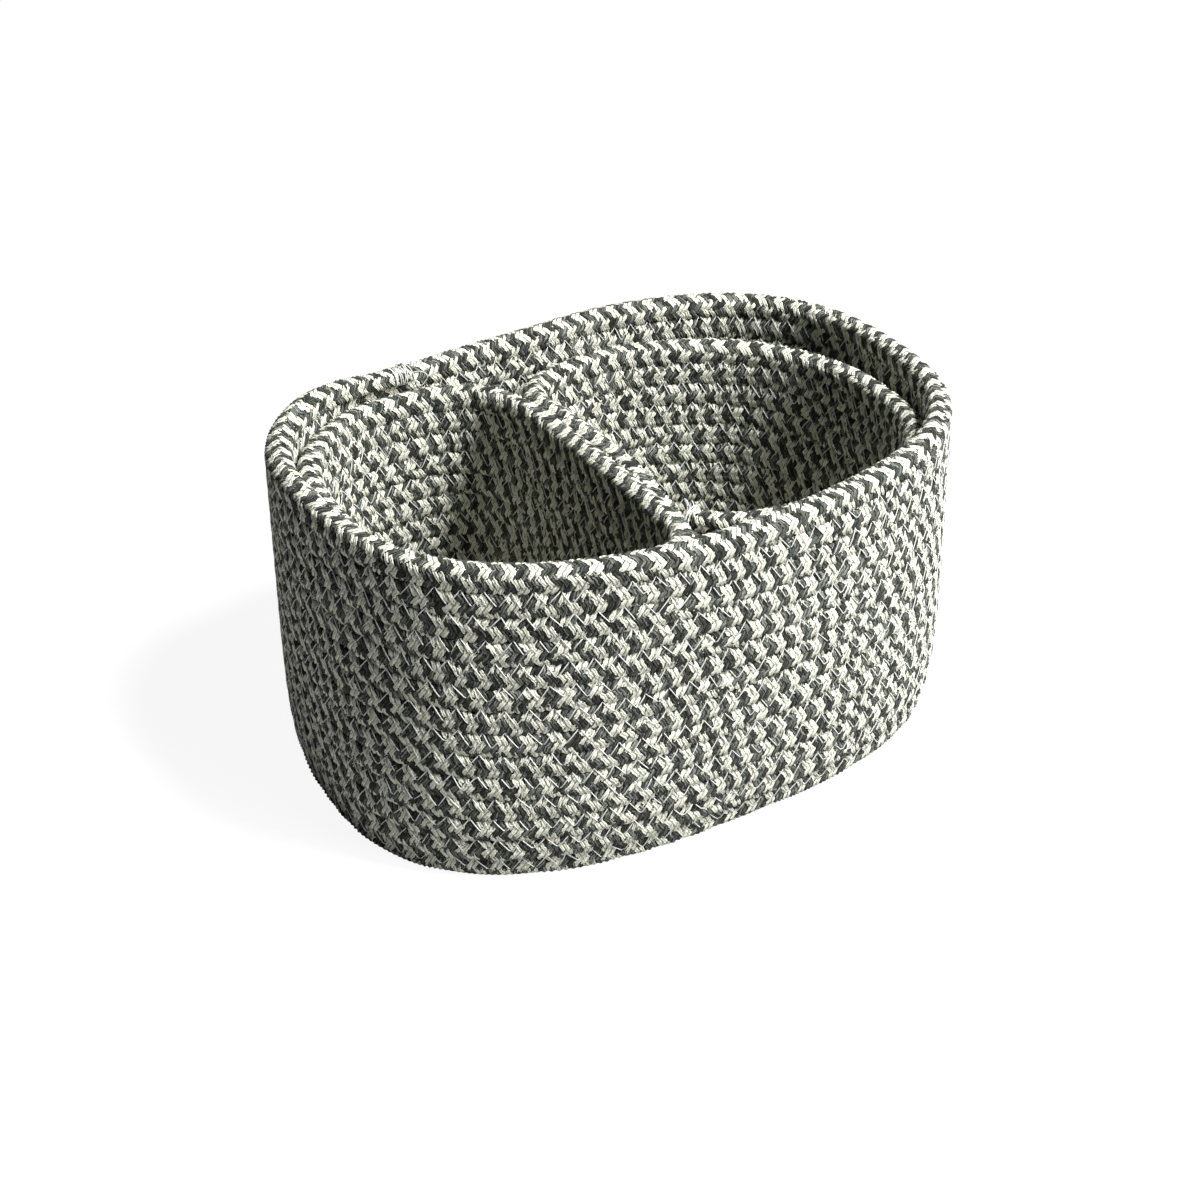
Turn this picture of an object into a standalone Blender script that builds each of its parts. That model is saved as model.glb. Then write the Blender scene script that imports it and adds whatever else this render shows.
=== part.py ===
"""Oval coiled-rope basket with two lift-out cups, as Blender geometry in metres, +Z up.

Three cotton ropes are wound and sewn: the outer basket, a left cup and a right cup. Each rope starts as
a straight run in the middle of its floor, spirals outwards, then stacks up into a wall and ends on its
rim, wound clockwise seen from above. The loops lie level, with one short climb each, one over another.
+X runs along the oval to the right cup, -Y faces the front, and the floor's underside is at Z = 0.
"""
import bpy
import bmesh
import math
from mathutils import Vector

# Rope
ROPE_ACROSS = 0.0091          # wall rope across its flats, flats facing the next course
FLOOR_ROPE_ACROSS = 0.0080    # the same rope pressed square in the floors
COURSE_PITCH = 0.01015        # from one wall course to the next
FLOOR_EDGE_CLEARANCE = 0.0013 # between a floor's last loop and the wall round it
FLOOR_LOOP_PITCH = 0.0102     # about this far from one floor loop to the next
CUT_GAP = 0.0003              # between the pieces of one rope, and between a cup and what it stands on

# Outer basket, measured on the rope's centre line at the rim
OVAL_HALF_LENGTH = 0.1346
OVAL_HALF_WIDTH = 0.0965
OVAL_POWER = 2.65             # superellipse power of the oval
OVAL_COURSES = 14
SAG_ALONG = 0.0018            # three-fold waviness of the hand-shaped rim, its part symmetric to X
SAG_ACROSS = 0.0023           # and its part symmetric to Y
FOOT_SPREAD = 0.0039          # the foot is this much longer at each end than the rim
FOOT_TUCK = 0.0044            # the lowest course is drawn in by this much
TUCK_FADE_COURSES = 1.4       # courses over which the tuck fades
OVAL_END_ANGLE = 108.0        # where the rope ends on the rim, back left
OVAL_STATIONS = 18

# Cups
CUP_COURSES = 12
LEFT_CUP_INSET = 0.0133       # rope centre line of the cup inside that of the outer rim
RIGHT_CUP_INSET = 0.0171
DIVIDER_MIDDLE = -0.0097      # X of the plane between the two cups
CUP_SPACING = 0.0120          # between the cups' centre lines along the divider
CUP_FILLET = 0.0340           # corner radius where a cup's round side meets the divider
CUP_FILLET_LEAST = 0.0060
CUP_FOOT_TUCK = 0.0020
FLOOR_MIDDLE_SHIFT = 0.0015   # a cup floor's middle line lies this much nearer the divider
FLOOR_MIDDLE_DRAW_IN = 0.0040 # and ends this much short of a true stadium's
CUP_ROUND_STATIONS = 7        # pieces of the round side; each fillet has two, and so has the divider side
LEFT_CUP_END_STATION = 5      # stations at which the cups' ropes end on their rims
RIGHT_CUP_END_STATION = 12

START_RUN_STATIONS = 2        # pieces of a rope's straight start
START_TURN_STATIONS = 4       # pieces over which the first loop leaves it
WALL_SIDES_RESOLUTION = 1     # six sides
FLOOR_SIDES_RESOLUTION = 0    # four sides
FLAT_CUT_SHARE = 0.1          # share of the rope cut flat where the basket stands
CUTTER_OVERRUN = 0.02
GAP_SAMPLES = 6

HEX_RADIUS = ROPE_ACROSS / math.sqrt(3.0)
SQUARE_RADIUS = FLOOR_ROPE_ACROSS / math.sqrt(2.0)
FLAT_CUT = ROPE_ACROSS * FLAT_CUT_SHARE
WALL_START_HEIGHT = ROPE_ACROSS / 2 - FLAT_CUT
FLOOR_HEIGHT = FLOOR_ROPE_ACROSS / 2 - FLAT_CUT
CUP_BOTTOM = FLOOR_HEIGHT + FLOOR_ROPE_ACROSS / 2 + CUT_GAP
CUP_WALL_START_HEIGHT = CUP_BOTTOM + ROPE_ACROSS / 2
CUP_FLOOR_HEIGHT = CUP_BOTTOM + FLOOR_ROPE_ACROSS / 2
EDGE_STEP = HEX_RADIUS + FLOOR_ROPE_ACROSS / 2 + FLOOR_EDGE_CLEARANCE

ROPE_COLOUR = (0.36, 0.37, 0.35, 1.0)
RIM_COLOUR = (0.42, 0.43, 0.40, 1.0)
FLOOR_COLOUR = (0.30, 0.31, 0.30, 1.0)
ROPE_ROUGHNESS = 0.9


def clear_scene():
    for found in list(bpy.data.objects):
        bpy.data.objects.remove(found, do_unlink=True)


def new_collection(name):
    made = bpy.data.collections.new(name)
    bpy.context.scene.collection.children.link(made)
    return made


def rope_material(name, colour):
    made = bpy.data.materials.new(name)
    made.use_nodes = True
    shader = made.node_tree.nodes["Principled BSDF"]
    shader.inputs["Base Color"].default_value = colour
    shader.inputs["Roughness"].default_value = ROPE_ROUGHNESS
    shader.inputs["Metallic"].default_value = 0.0
    return made


def tuck(course, most=FOOT_TUCK):
    """How far a course near the foot is drawn in."""
    return most * math.exp(-course / TUCK_FADE_COURSES)


def oval_point(angle, course):
    """Centre line of the outer wall on a course, at a superellipse angle in degrees."""
    rise = course / (OVAL_COURSES - 1)
    half_length = OVAL_HALF_LENGTH + FOOT_SPREAD * (1 - rise) - tuck(course)
    half_width = OVAL_HALF_WIDTH - tuck(course)
    along = math.cos(math.radians(angle))
    across = math.sin(math.radians(angle))
    share = 2.0 / OVAL_POWER
    x = half_length * math.copysign(abs(along) ** share, along)
    y = half_width * math.copysign(abs(across) ** share, across)
    turn = math.atan2(y, x)
    sag = rise * (SAG_ALONG * math.cos(3 * turn) + SAG_ACROSS * math.sin(3 * turn))
    return Vector((x + sag * math.cos(turn), y + sag * math.sin(turn), 0))


def inset_point(angle, inset):
    """A point a given distance inside the rim's centre line, square to it."""
    ahead = oval_point(angle + 0.5, OVAL_COURSES - 1)
    behind = oval_point(angle - 0.5, OVAL_COURSES - 1)
    tangent = (ahead - behind).normalized()
    inward = Vector((-tangent.y, tangent.x, 0))
    return oval_point(angle, OVAL_COURSES - 1) + inward * inset


def loops_in(reach):
    """Floor loops that fill a reach from the floor's straight middle out to the wall's first course."""
    return max(round((reach - EDGE_STEP) / FLOOR_LOOP_PITCH), 1)


def floor_share(level, reach):
    """Share of the way from a floor's straight middle out to the wall's first course, at a level."""
    loops = loops_in(reach)
    last_loop = 1 - EDGE_STEP / reach
    if level >= -1:
        return 1 + level * (1 - last_loop)
    return last_loop * (loops + 1 + level) / loops


def coil_height(level, wall_start, floor_height):
    """Height of a rope's centre line: level in the floor, then one pitch up for each course."""
    if level >= 0:
        return wall_start + level * COURSE_PITCH
    return wall_start + (floor_height - wall_start) * min(-level, 1)


def oval_reach():
    """From the outer floor's straight middle out to the wall's first course."""
    return OVAL_HALF_WIDTH - tuck(0)


def oval_ring(level, station):
    """Outer rope at a level: courses count up from 0, floor loops count down from -1."""
    angle = OVAL_END_ANGLE - station * 360.0 / OVAL_STATIONS
    place = oval_point(angle, max(level, 0))
    if level < 0:
        middle_reach = OVAL_HALF_LENGTH + FOOT_SPREAD - OVAL_HALF_WIDTH
        middle = Vector((min(max(place.x, -middle_reach), middle_reach), 0, 0))
        place = middle.lerp(place, floor_share(level, oval_reach()))
    place.z = coil_height(level, WALL_START_HEIGHT, FLOOR_HEIGHT)
    return place


def fillet_angle(side, end, inset, reach):
    """Angle on the oval where a ball of the fillet's size touches both the round side and the divider."""
    near, far = 90.0 * end, 90.0 - 90.0 * side
    if end < 0:
        near, far = (-90.0, 0.0) if side > 0 else (270.0, 180.0)
    for _ in range(40):
        middle = (near + far) / 2
        if inset_point(middle, inset).x * side < reach:
            near = middle
        else:
            far = middle
    return (near + far) / 2


def fillet_arc(side, angle, inset, fillet):
    """The middle and the divider end of a fillet that leaves the round side at an angle."""
    centre = inset_point(angle, inset + fillet)
    start = (inset_point(angle, inset) - centre).normalized()
    flat = Vector((-side, 0, 0))
    return [centre + (start + flat).normalized() * fillet, centre + flat * fillet]


def cup_loop(side, cup_inset, inset):
    """Stations of one loop of a cup, counter-clockwise from above; side is -1 left and +1 right."""
    divider = DIVIDER_MIDDLE + side * (CUP_SPACING / 2 + inset)
    fillet = max(CUP_FILLET - inset, CUP_FILLET_LEAST)
    total = cup_inset + inset
    centre_reach = (divider + side * fillet) * side
    back = fillet_angle(side, 1, total + fillet, centre_reach)
    front = fillet_angle(side, -1, total + fillet, centre_reach)
    first, last = (back, front) if side < 0 else (front, back)
    points = []
    for step in range(CUP_ROUND_STATIONS + 1):
        angle = first + (last - first) * step / CUP_ROUND_STATIONS
        points.append(inset_point(angle, total))
    leaving, joining = (fillet_arc(side, angle, total, fillet) for angle in (last, first))
    return points + leaving + [(leaving[1] + joining[1]) / 2] + joining[::-1]


def cup_floor_middle(side, cup_inset):
    """Centre of a cup floor's straight start, half its run along Y, and the least reach to the wall."""
    edge = cup_loop(side, cup_inset, tuck(0, CUP_FOOT_TUCK))
    low = Vector((min(p.x for p in edge), min(p.y for p in edge), 0))
    high = Vector((max(p.x for p in edge), max(p.y for p in edge), 0))
    half = (high - low) / 2
    centre = (low + high) / 2 - Vector((side * FLOOR_MIDDLE_SHIFT, 0, 0))
    return centre, half.y - half.x - FLOOR_MIDDLE_DRAW_IN, half.x - FLOOR_MIDDLE_SHIFT


def cup_ring(side, cup_inset, level, station):
    """Rope of a cup at a level: courses count up from 0, floor loops count down from -1."""
    points = cup_loop(side, cup_inset, tuck(max(level, 0), CUP_FOOT_TUCK))
    place = points[station % len(points)].copy()
    if level < 0:
        centre, half_run, reach = cup_floor_middle(side, cup_inset)
        along = min(max(place.y - centre.y, -half_run), half_run)
        middle = centre + Vector((0, along, 0))
        place = middle.lerp(place, floor_share(level, reach))
    place.z = coil_height(level, CUP_WALL_START_HEIGHT, CUP_FLOOR_HEIGHT)
    return place


def move_share(loop, station, first_loop):
    """Share of its move to a loop that a rope has made at a station counted from the rope's end.

    Courses climb over the first piece. Floor loops move out over the second, clear of the climb above.
    """
    if loop == first_loop:
        made = (station - START_RUN_STATIONS) / START_TURN_STATIONS
    elif loop <= 0:
        made = station - 1
    else:
        made = station
    return min(max(made, 0), 1)


def wound_route(ring, floor_loops, courses, stations):
    """Points of one rope from its straight start in the floor to its end on the rim, with their levels."""
    route = []
    for loop in range(-floor_loops, courses):
        for station in range(stations):
            level = loop - 1 + move_share(loop, station, -floor_loops)
            route.append((ring(level, station), level))
    route.append((ring(courses - 1, stations), courses - 1))
    return route


def split_route(route, level):
    """Cuts a route half way along its first piece on a level, and leaves a small gap at the cut."""
    first = next(n for n, (place, at) in enumerate(route) if at >= level)
    start, end = route[first][0], route[first + 1][0]
    middle = (start + end) / 2
    half_gap = (end - start).normalized() * (CUT_GAP / 2)
    lower = route[:first + 1] + [(middle - half_gap, level)]
    upper = [(middle + half_gap, level)] + route[first + 1:]
    return lower, upper


def least_gap(points, across, stations):
    """Least clear distance between loops of one rope, on points spread along each piece."""
    dense = []
    for start, end in zip(points, points[1:]):
        dense.extend(start.lerp(end, n / GAP_SAMPLES) for n in range(GAP_SAMPLES))
    apart = GAP_SAMPLES * stations // 2
    least = min((a - b).length for n, a in enumerate(dense) for b in dense[n + apart:n + 3 * apart])
    return least - across


def make_rope(name, route, floor, origin, parent, collection, colour):
    """One unbroken tube along a route, six-sided in a wall and square in a floor."""
    points = [place - origin for place, level in route]
    curve = bpy.data.curves.new(name, "CURVE")
    curve.dimensions = "3D"
    curve.twist_mode = "Z_UP"
    curve.bevel_depth = SQUARE_RADIUS if floor else HEX_RADIUS
    curve.bevel_resolution = FLOOR_SIDES_RESOLUTION if floor else WALL_SIDES_RESOLUTION
    curve.use_fill_caps = True
    spline = curve.splines.new("POLY")
    spline.points.add(len(points) - 1)
    for point, place in zip(spline.points, points):
        point.co = (place.x, place.y, place.z, 1)
        point.tilt = math.radians(45) if floor else 0
    made = bpy.data.objects.new(name, curve)
    made.location = origin if parent is None else (0, 0, 0)
    made.parent = parent
    collection.objects.link(made)
    curve.materials.append(rope_material(name + "_cotton", colour))
    return made


def as_mesh(rope):
    """The rope's tube as a closed mesh under the same name."""
    bpy.context.view_layer.update()
    found = rope.evaluated_get(bpy.context.evaluated_depsgraph_get())
    mesh = bpy.data.meshes.new_from_object(found)
    welded = bmesh.new()
    welded.from_mesh(mesh)
    bmesh.ops.remove_doubles(welded, verts=welded.verts, dist=CUT_GAP / 30)
    welded.to_mesh(mesh)
    welded.free()
    name, place, collection = rope.name, rope.matrix_world.copy(), rope.users_collection[0]
    bpy.data.objects.remove(rope, do_unlink=True)
    made = bpy.data.objects.new(name, mesh)
    made.matrix_world = place
    collection.objects.link(made)
    return made


def cut_flat(rope, cutter):
    flat = rope.modifiers.new("stands_flat", "BOOLEAN")
    flat.operation = "DIFFERENCE"
    flat.solver = "EXACT"
    flat.object = cutter


def ground_cutter(collection):
    bpy.ops.mesh.primitive_cube_add(size=1)
    made = bpy.context.active_object
    made.name = "ground_cutter"
    reach = OVAL_HALF_LENGTH + FOOT_SPREAD + CUTTER_OVERRUN
    made.scale = (2 * reach, 2 * reach, CUTTER_OVERRUN)
    made.location = (0, 0, -CUTTER_OVERRUN / 2)
    made.hide_render = True
    made.display_type = "WIRE"
    for holder in list(made.users_collection):
        holder.objects.unlink(made)
    collection.objects.link(made)
    return made


def make_coils(label, route, courses, stations, origin, carrier, collection):
    """The floor, wall and rim pieces of one rope."""
    floor, wall = split_route(route, 0)
    wall, rim = split_route(wall, courses - 1)
    pieces = (("floor_coil", floor, True, FLOOR_COLOUR),
              ("wall_coil", wall, False, ROPE_COLOUR),
              ("rim_coil", rim, False, RIM_COLOUR))
    made = {}
    for kind, part, is_floor, colour in pieces:
        name = label + "_" + kind
        made[kind] = make_rope(name, part, is_floor, origin, carrier, collection, colour)
        if kind != "rim_coil":
            report_gap(name, part, FLOOR_ROPE_ACROSS if is_floor else ROPE_ACROSS, stations)
    return made


def build_outer(collection, cutter):
    route = wound_route(oval_ring, loops_in(oval_reach()), OVAL_COURSES, OVAL_STATIONS)
    made = make_coils("outer", route, OVAL_COURSES, OVAL_STATIONS, Vector(), None, collection)
    cut_flat(as_mesh(made["floor_coil"]), cutter)
    cut_flat(as_mesh(made["wall_coil"]), cutter)


def build_cup(side, label, cup_inset, end_station, collection):
    def ring(level, station):
        return cup_ring(side, cup_inset, level, end_station - station)

    stations = len(cup_loop(side, cup_inset, 0))
    centre, half_run, reach = cup_floor_middle(side, cup_inset)
    centre.z = CUP_BOTTOM
    carrier = bpy.data.objects.new(label, None)
    carrier.location = centre
    collection.objects.link(carrier)
    route = wound_route(ring, loops_in(reach), CUP_COURSES, stations)
    make_coils(label, route, CUP_COURSES, stations, centre, carrier, collection)


def report_gap(name, part, across, stations):
    gap = least_gap([place for place, level in part], across, stations)
    print(name, "least gap between loops", round(gap * 1000, 2), "mm")


def main():
    clear_scene()
    basket = new_collection("coiled_rope_basket")
    cutters = new_collection("cutters")
    build_outer(basket, ground_cutter(cutters))
    build_cup(-1, "left_cup", LEFT_CUP_INSET, LEFT_CUP_END_STATION, basket)
    build_cup(1, "right_cup", RIGHT_CUP_INSET, RIGHT_CUP_END_STATION, basket)


main()
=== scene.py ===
"""Oval coiled-rope basket with two lift-out cups: braided cotton rope, sewing thread, light and camera.

Lengths are metres, +Z up, -Y towards the front. Each of the three ropes is wound from a straight start in
the middle of its floor, in loops outwards and then in level courses upwards, and climbs to the next course
on one short stretch of each loop. The outer basket and the right cup are wound clockwise seen from above,
the left cup the other way. A rope's surface is a net of braid cells: sixteen strands, eight each way, over
two and under two.
"""

import math

import bpy
import numpy as np
from mathutils import Matrix, Vector


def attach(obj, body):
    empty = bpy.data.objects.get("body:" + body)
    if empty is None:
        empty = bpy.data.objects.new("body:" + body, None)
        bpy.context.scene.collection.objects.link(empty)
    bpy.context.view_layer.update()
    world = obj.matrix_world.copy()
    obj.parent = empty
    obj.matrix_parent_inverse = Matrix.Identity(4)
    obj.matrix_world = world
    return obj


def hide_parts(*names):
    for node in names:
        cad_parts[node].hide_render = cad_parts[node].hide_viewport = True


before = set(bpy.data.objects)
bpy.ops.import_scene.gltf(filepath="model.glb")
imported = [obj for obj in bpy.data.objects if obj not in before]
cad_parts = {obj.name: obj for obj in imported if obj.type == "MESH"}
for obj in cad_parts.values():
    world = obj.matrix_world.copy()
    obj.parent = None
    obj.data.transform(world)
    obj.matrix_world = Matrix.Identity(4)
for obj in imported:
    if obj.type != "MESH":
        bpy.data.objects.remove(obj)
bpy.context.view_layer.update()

# Rope
ROPE_ACROSS = 0.0100          # through the wall
COURSE_PITCH = 0.01015
ROPE_TALL = 0.0116            # pressed against its neighbours, so a little taller than the pitch
ROPE_SQUARENESS = 6.0         # superellipse power of its section between neighbours
END_SQUARENESS_LOSS = 3.2     # the laid-down end is rounder by this
CROWN_TALL = 0.0094           # the free upper half of a rim stays round
CROWN_SQUARENESS = 2.1
FLOOR_ROPE_ACROSS = 0.0112
FLOOR_ROPE_TALL = 0.0088
CUT_END_BULGE = 0.12          # in rope widths
UNDERSIDE_GAP = 0.0002        # between a rope's flattened underside and what it stands on

# Braid
BRAID_LAY = 0.0191            # length in which a strand goes once round the rope
BRAID_NET = 16                # net points round the rope, and rings in one lay
STRAND_RELIEF = 0.00036
PRESSED_FLAT = 0.55           # share of the relief that is lost where neighbours press
PRESSED_POWER = 6             # how narrow that place is
BRAID_REPEAT = 4.0            # strands after which the pattern comes again
OVER_REACH = 1.5              # strands of a repeat that one strand lies over
YARNS = 2.0                   # yarns side by side in a strand
YARN_ENDS = 0.60              # unevenness of their visible ends, in strand widths
YARN_CHANCE = 0.4             # how far chance settles which of two crossing yarns is on top
STRAND_WANDER = 0.88          # of the strands' edges, in strand widths
CREAM_STRANDS = (0.14, 1.72)  # where the cream strands of a repeat start, and their breadth
# a braid runs ahead, and turns round the rope, in slow waves: how far, over what length, from which phase
LAY_WANDER = ((0.0024, 0.173, 0.4), (0.0014, 0.071, 2.1))
TWIST_WANDER = ((0.75, 0.310, 1.3), (0.30, 0.097, 0.2))

# Sewing thread
THREAD_ACROSS = 0.00046
STITCH_PERIOD = 0.0086        # one zig and one zag
STITCH_UP = 0.0016            # from the groove to a needle hole above it, and below it
STITCH_DOWN = 0.0050
STITCH_LEG = (0.0, 0.16, 0.5, 0.84)    # where a leg bends, from one needle hole to the next
NEEDLE_WANDER = 0.16          # of a leg
NEEDLE_REACH = (0.75, 1.15)   # least and most share of the way up or down
NEEDLE_HOLE_DEPTH = 0.0005
THREAD_PROUD = 0.35           # share of the thread that stands out of the rope
GROOVE_BRIDGE = 0.0011        # how deep the thread lies where it spans a groove
TURNING_UP = (-0.97, -0.03)   # levels between which a floor's last loop turns up into the wall
THREAD_STOP = 0.040           # the zigzag stops this far before the rope's end
THREAD_SEED = 11
WHIPPING_SEED = 16
WHIPPING_ROUNDS = 3           # round the first three rings, and one more for each two
WHIPPING_POINTS = 14          # to a round
WHIPPING_AHEAD = 0.6          # share of the thread that is wound towards the tip, before it comes back
WHIPPING_WANDER = (0.09, 0.5)          # along the rope, in shares of the stretch, and round it, in radians
WHIPPING_SLACK = (0.98, 1.10)          # of the radius it lies on
WHIPPING_SLACK_KNOTS = 3      # to a round
WHIPPING_SQUARENESS = 2.8
# loose threads at a rope's tip: half heights up, half widths to the side and metres ahead of the tip
LOOSE_THREADS = (
    ((0.4, 0.9, 0.0), (0.6, 1.7, 0.003), (-0.2, 2.1, 0.005), (-1.5, 1.6, 0.002)),
    ((0.7, 0.0, 0.0), (1.5, 0.0, 0.001), (1.7, 0.0, 0.003), (1.0, 0.4, 0.002), (0.3, 0.0, 0.001)),
)
LOOSE_THREAD_POINTS = 24
LOOSE_THREAD_SOFTENING = 8

# Outer basket, on the rope's centre line at the rim
OVAL_HALF_LENGTH = 0.1346
OVAL_HALF_WIDTH = 0.0965
OVAL_POWER = 2.65
OVAL_COURSES = 14
OVAL_FLOOR_LOOPS = 8
OVAL_BANDS = [4, 9]           # courses at which the wall is parted into bands
OVAL_END_ANGLE = 106.0
OVAL_ANGLES = 1440
SAG_ALONG = 0.0018
SAG_ACROSS = 0.0023
FOOT_SPREAD = 0.0039
FOOT_TUCK = 0.0044
TUCK_FADE_COURSES = 1.4
DENT_DEPTH = 0.0022           # where the end is sewn down the wall is drawn in
DENT_HALF_LENGTH = 0.055
DENT_FADE = 0.045
DENT_COURSES = (5, 7)         # the course above which it starts, and the courses in which it deepens

# Cups: a few points of each rim's centre line in millimetres, from the rope's end on
CUP_COURSES = 12
CUP_BANDS = [6]
CUP_FOOT_TUCK = 0.0020
LEFT_CUP_FLOOR_LOOPS = 4
RIGHT_CUP_FLOOR_LOOPS = 5
LEFT_CUP_RIM = (
    (-115, -44), (-102, -65), (-82, -78.5), (-58, -84.5), (-38, -85.5), (-24.5, -83), (-16.6, -74),
    (-14.6, -58), (-14.5, -34), (-14.9, -5), (-15.8, 24), (-17.5, 46), (-21, 59), (-28, 70.5), (-42, 79),
    (-62, 82.3), (-82, 80), (-98, 70), (-111, 56), (-119.5, 38), (-122.4, 12), (-121, -18))
RIGHT_CUP_RIM = (
    (-3.4, -57), (-4.3, -44), (-4.4, -20), (-4.5, 6), (-5.4, 30), (-7.4, 48), (-6.6, 60), (0, 69),
    (11, 73.8), (28, 76.5), (47, 75.5), (68, 69), (88, 58.5), (104, 43), (116, 22), (121.5, -3),
    (119.5, -30), (112, -52), (96, -69), (74, -78), (50, -80.5), (30, -79), (14, -74.5), (4, -67))
RIM_POINT_STEPS = 24          # between two of these points
RIM_SOFTENING = 60
DIVIDER_MIDDLE = -0.0097
DIVIDER_HALF_BREADTH = 0.012  # where a rim stands at its full extra height, and how far on it fades
DIVIDER_FADE = 0.05
LEFT_CUP_RISE = 0.0016        # extra height of the rims along the divider
RIGHT_CUP_RISE = -0.0012

# Heights of centre lines
WALL_START_HEIGHT = 0.0042
FLOOR_HEIGHT = 0.0038
CUP_WALL_START_HEIGHT = 0.0126
CUP_FLOOR_HEIGHT = 0.0122
CUP_UNDERSIDE = 0.0086        # where a cup stands on the outer floor

# Climbs: how far before the end's place a wall course starts to climb, and over what length
OVAL_CLIMB = (0.087, 0.185)
LEFT_CUP_CLIMB = (0.050, 0.085)
RIGHT_CUP_CLIMB = (0.010, 0.055)
# floor loops move outwards from the first share of a loop on, over a length or at most the last share
FLOOR_MOVE_FROM = 0.10
FLOOR_MOVE_LENGTH = 0.090
FLOOR_MOVE_MOST = 0.6
FIRST_MOVE = (0.12, 0.30)     # the innermost loop: from which share, over which share

# Laid-down ends: length, how far to the right of the course below, height, width, net rings with thread
OVAL_END = (0.065, 0.0059, 0.0066, 0.0075, 10)
LEFT_CUP_END = (0.045, 0.0038, 0.0080, 0.0086, 3)
RIGHT_CUP_END = (0.045, 0.0004, 0.0084, 0.0088, 3)
NEST = 0.875                  # courses press into each other by this share of their radii

LOOP_SAMPLES = 720
ROUTE_SPARE = 0.02            # rings are counted a little past the end, before the braid's wander
ROUTE_SOFTENING = 6
TINY = 1e-9


# Paths

def smooth(t):
    """0 up to 0, 1 from 1 on, with a soft start and stop."""
    t = np.clip(t, 0.0, 1.0)
    return t * t * (3 - 2 * t)


def blend(one, other, share):
    return one + (other - one) * share


def waves(kinds, at):
    """Sum of slow waves along a rope."""
    return sum(far * np.sin(2 * np.pi * at / over + start) for far, over, start in kinds)


def unit(rows):
    return rows / np.linalg.norm(rows, axis=1)[:, None]


def run_of(points):
    """Distance along a path from its first point to each of its points."""
    return np.concatenate([[0], np.cumsum(np.linalg.norm(np.diff(points, axis=0), axis=1))])


def read_off(at, run, table):
    """Rows of a table that goes with a run, read off at other distances."""
    return np.stack([np.interp(at, run, column) for column in table.T], -1)


def soften_path(path, rounds):
    """Evens out an open path's bends between its two ends."""
    for _ in range(rounds):
        path[1:-1] = (path[:-2] + 2 * path[1:-1] + path[2:]) / 4
    return path


def soften_loop(loop, rounds):
    """Evens out a closed loop's bends."""
    for _ in range(rounds):
        loop = (np.roll(loop, 1, 0) + 2 * loop + np.roll(loop, -1, 0)) / 4
    return loop


def even_loop(points):
    """A closed loop through points, respaced evenly."""
    closed = np.vstack([points, points[:1]])
    run = run_of(closed)
    return read_off(np.linspace(0, run[-1], LOOP_SAMPLES, endpoint=False), run, closed)


def right_of(loop):
    """Unit normals to the right of a closed loop's run, which is inwards where it is wound clockwise."""
    ahead = unit(np.roll(loop, -1, 0) - np.roll(loop, 1, 0))
    return np.stack([ahead[:, 1], -ahead[:, 0]], -1)


def length_of(loop):
    return np.linalg.norm(np.roll(loop, -1, 0) - loop, axis=1).sum()


def tuck(course, most):
    """How far a course near the foot lies aside of the wall above it."""
    return most * np.exp(-course / TUCK_FADE_COURSES)


# Outlines

def oval(angle, course):
    """Centre line of the outer wall at superellipse angles in degrees, on a course."""
    angle = np.radians(angle)
    rise = course / (OVAL_COURSES - 1)
    half_length = OVAL_HALF_LENGTH + FOOT_SPREAD * (1 - rise) - tuck(course, FOOT_TUCK)
    half_width = OVAL_HALF_WIDTH - tuck(course, FOOT_TUCK)
    along, across = np.cos(angle), np.sin(angle)
    share = 2.0 / OVAL_POWER
    x = half_length * np.sign(along) * np.abs(along) ** share
    y = half_width * np.sign(across) * np.abs(across) ** share
    turn = np.arctan2(y, x)
    sag = rise * (SAG_ALONG * np.cos(3 * turn) + SAG_ACROSS * np.sin(3 * turn))
    return np.stack([x + sag * np.cos(turn), y + sag * np.sin(turn)], -1)


def oval_loop(course):
    """The outer wall's loop on a course, clockwise from the rope's end, with the dent there."""
    loop = even_loop(oval(OVAL_END_ANGLE - np.linspace(0, 360, OVAL_ANGLES, endpoint=False), course))
    past = np.arange(LOOP_SAMPLES) / LOOP_SAMPLES
    past = np.where(past > 0.5, past - 1, past) * length_of(loop)
    first, deepening = DENT_COURSES
    dent = (smooth((past + DENT_HALF_LENGTH) / DENT_FADE)
            * (1 - smooth((past - DENT_HALF_LENGTH) / DENT_FADE))
            * smooth((course - first) / deepening))
    return loop + right_of(loop) * (dent * DENT_DEPTH)[:, None]


def cup_outline(points):
    """A closed smooth loop through a cup's rim points, evenly spaced."""
    given = np.array(points) / 1000
    t = np.linspace(0, 1, RIM_POINT_STEPS, endpoint=False)[:, None]
    parts = []
    for k in range(len(given)):
        a, b, c, d = (given[(k + n) % len(given)] for n in (-1, 0, 1, 2))
        slope, bend, twist = (c - a) / 2, a - 2.5 * b + 2 * c - d / 2, 1.5 * (b - c) + (d - a) / 2
        parts.append(b + t * (slope + t * (bend + t * twist)))
    return even_loop(soften_loop(even_loop(np.vstack(parts)), RIM_SOFTENING))


def cup_core(outline):
    """The two ends of a cup floor's straight start."""
    low, high = outline.min(0), outline.max(0)
    half = (high - low) / 2
    centre = (low + high) / 2
    run = half[1] - half[0]
    return centre + [0, -run], centre + [0, run]


def beside_divider(rise):
    """Extra height of a cup's rim at places in plan: all of it along the divider, none away from it."""
    def lift(flat):
        away = np.abs(flat[:, 0] - DIVIDER_MIDDLE) - DIVIDER_HALF_BREADTH
        return rise * (1 - smooth(away / DIVIDER_FADE))
    return lift


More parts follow.
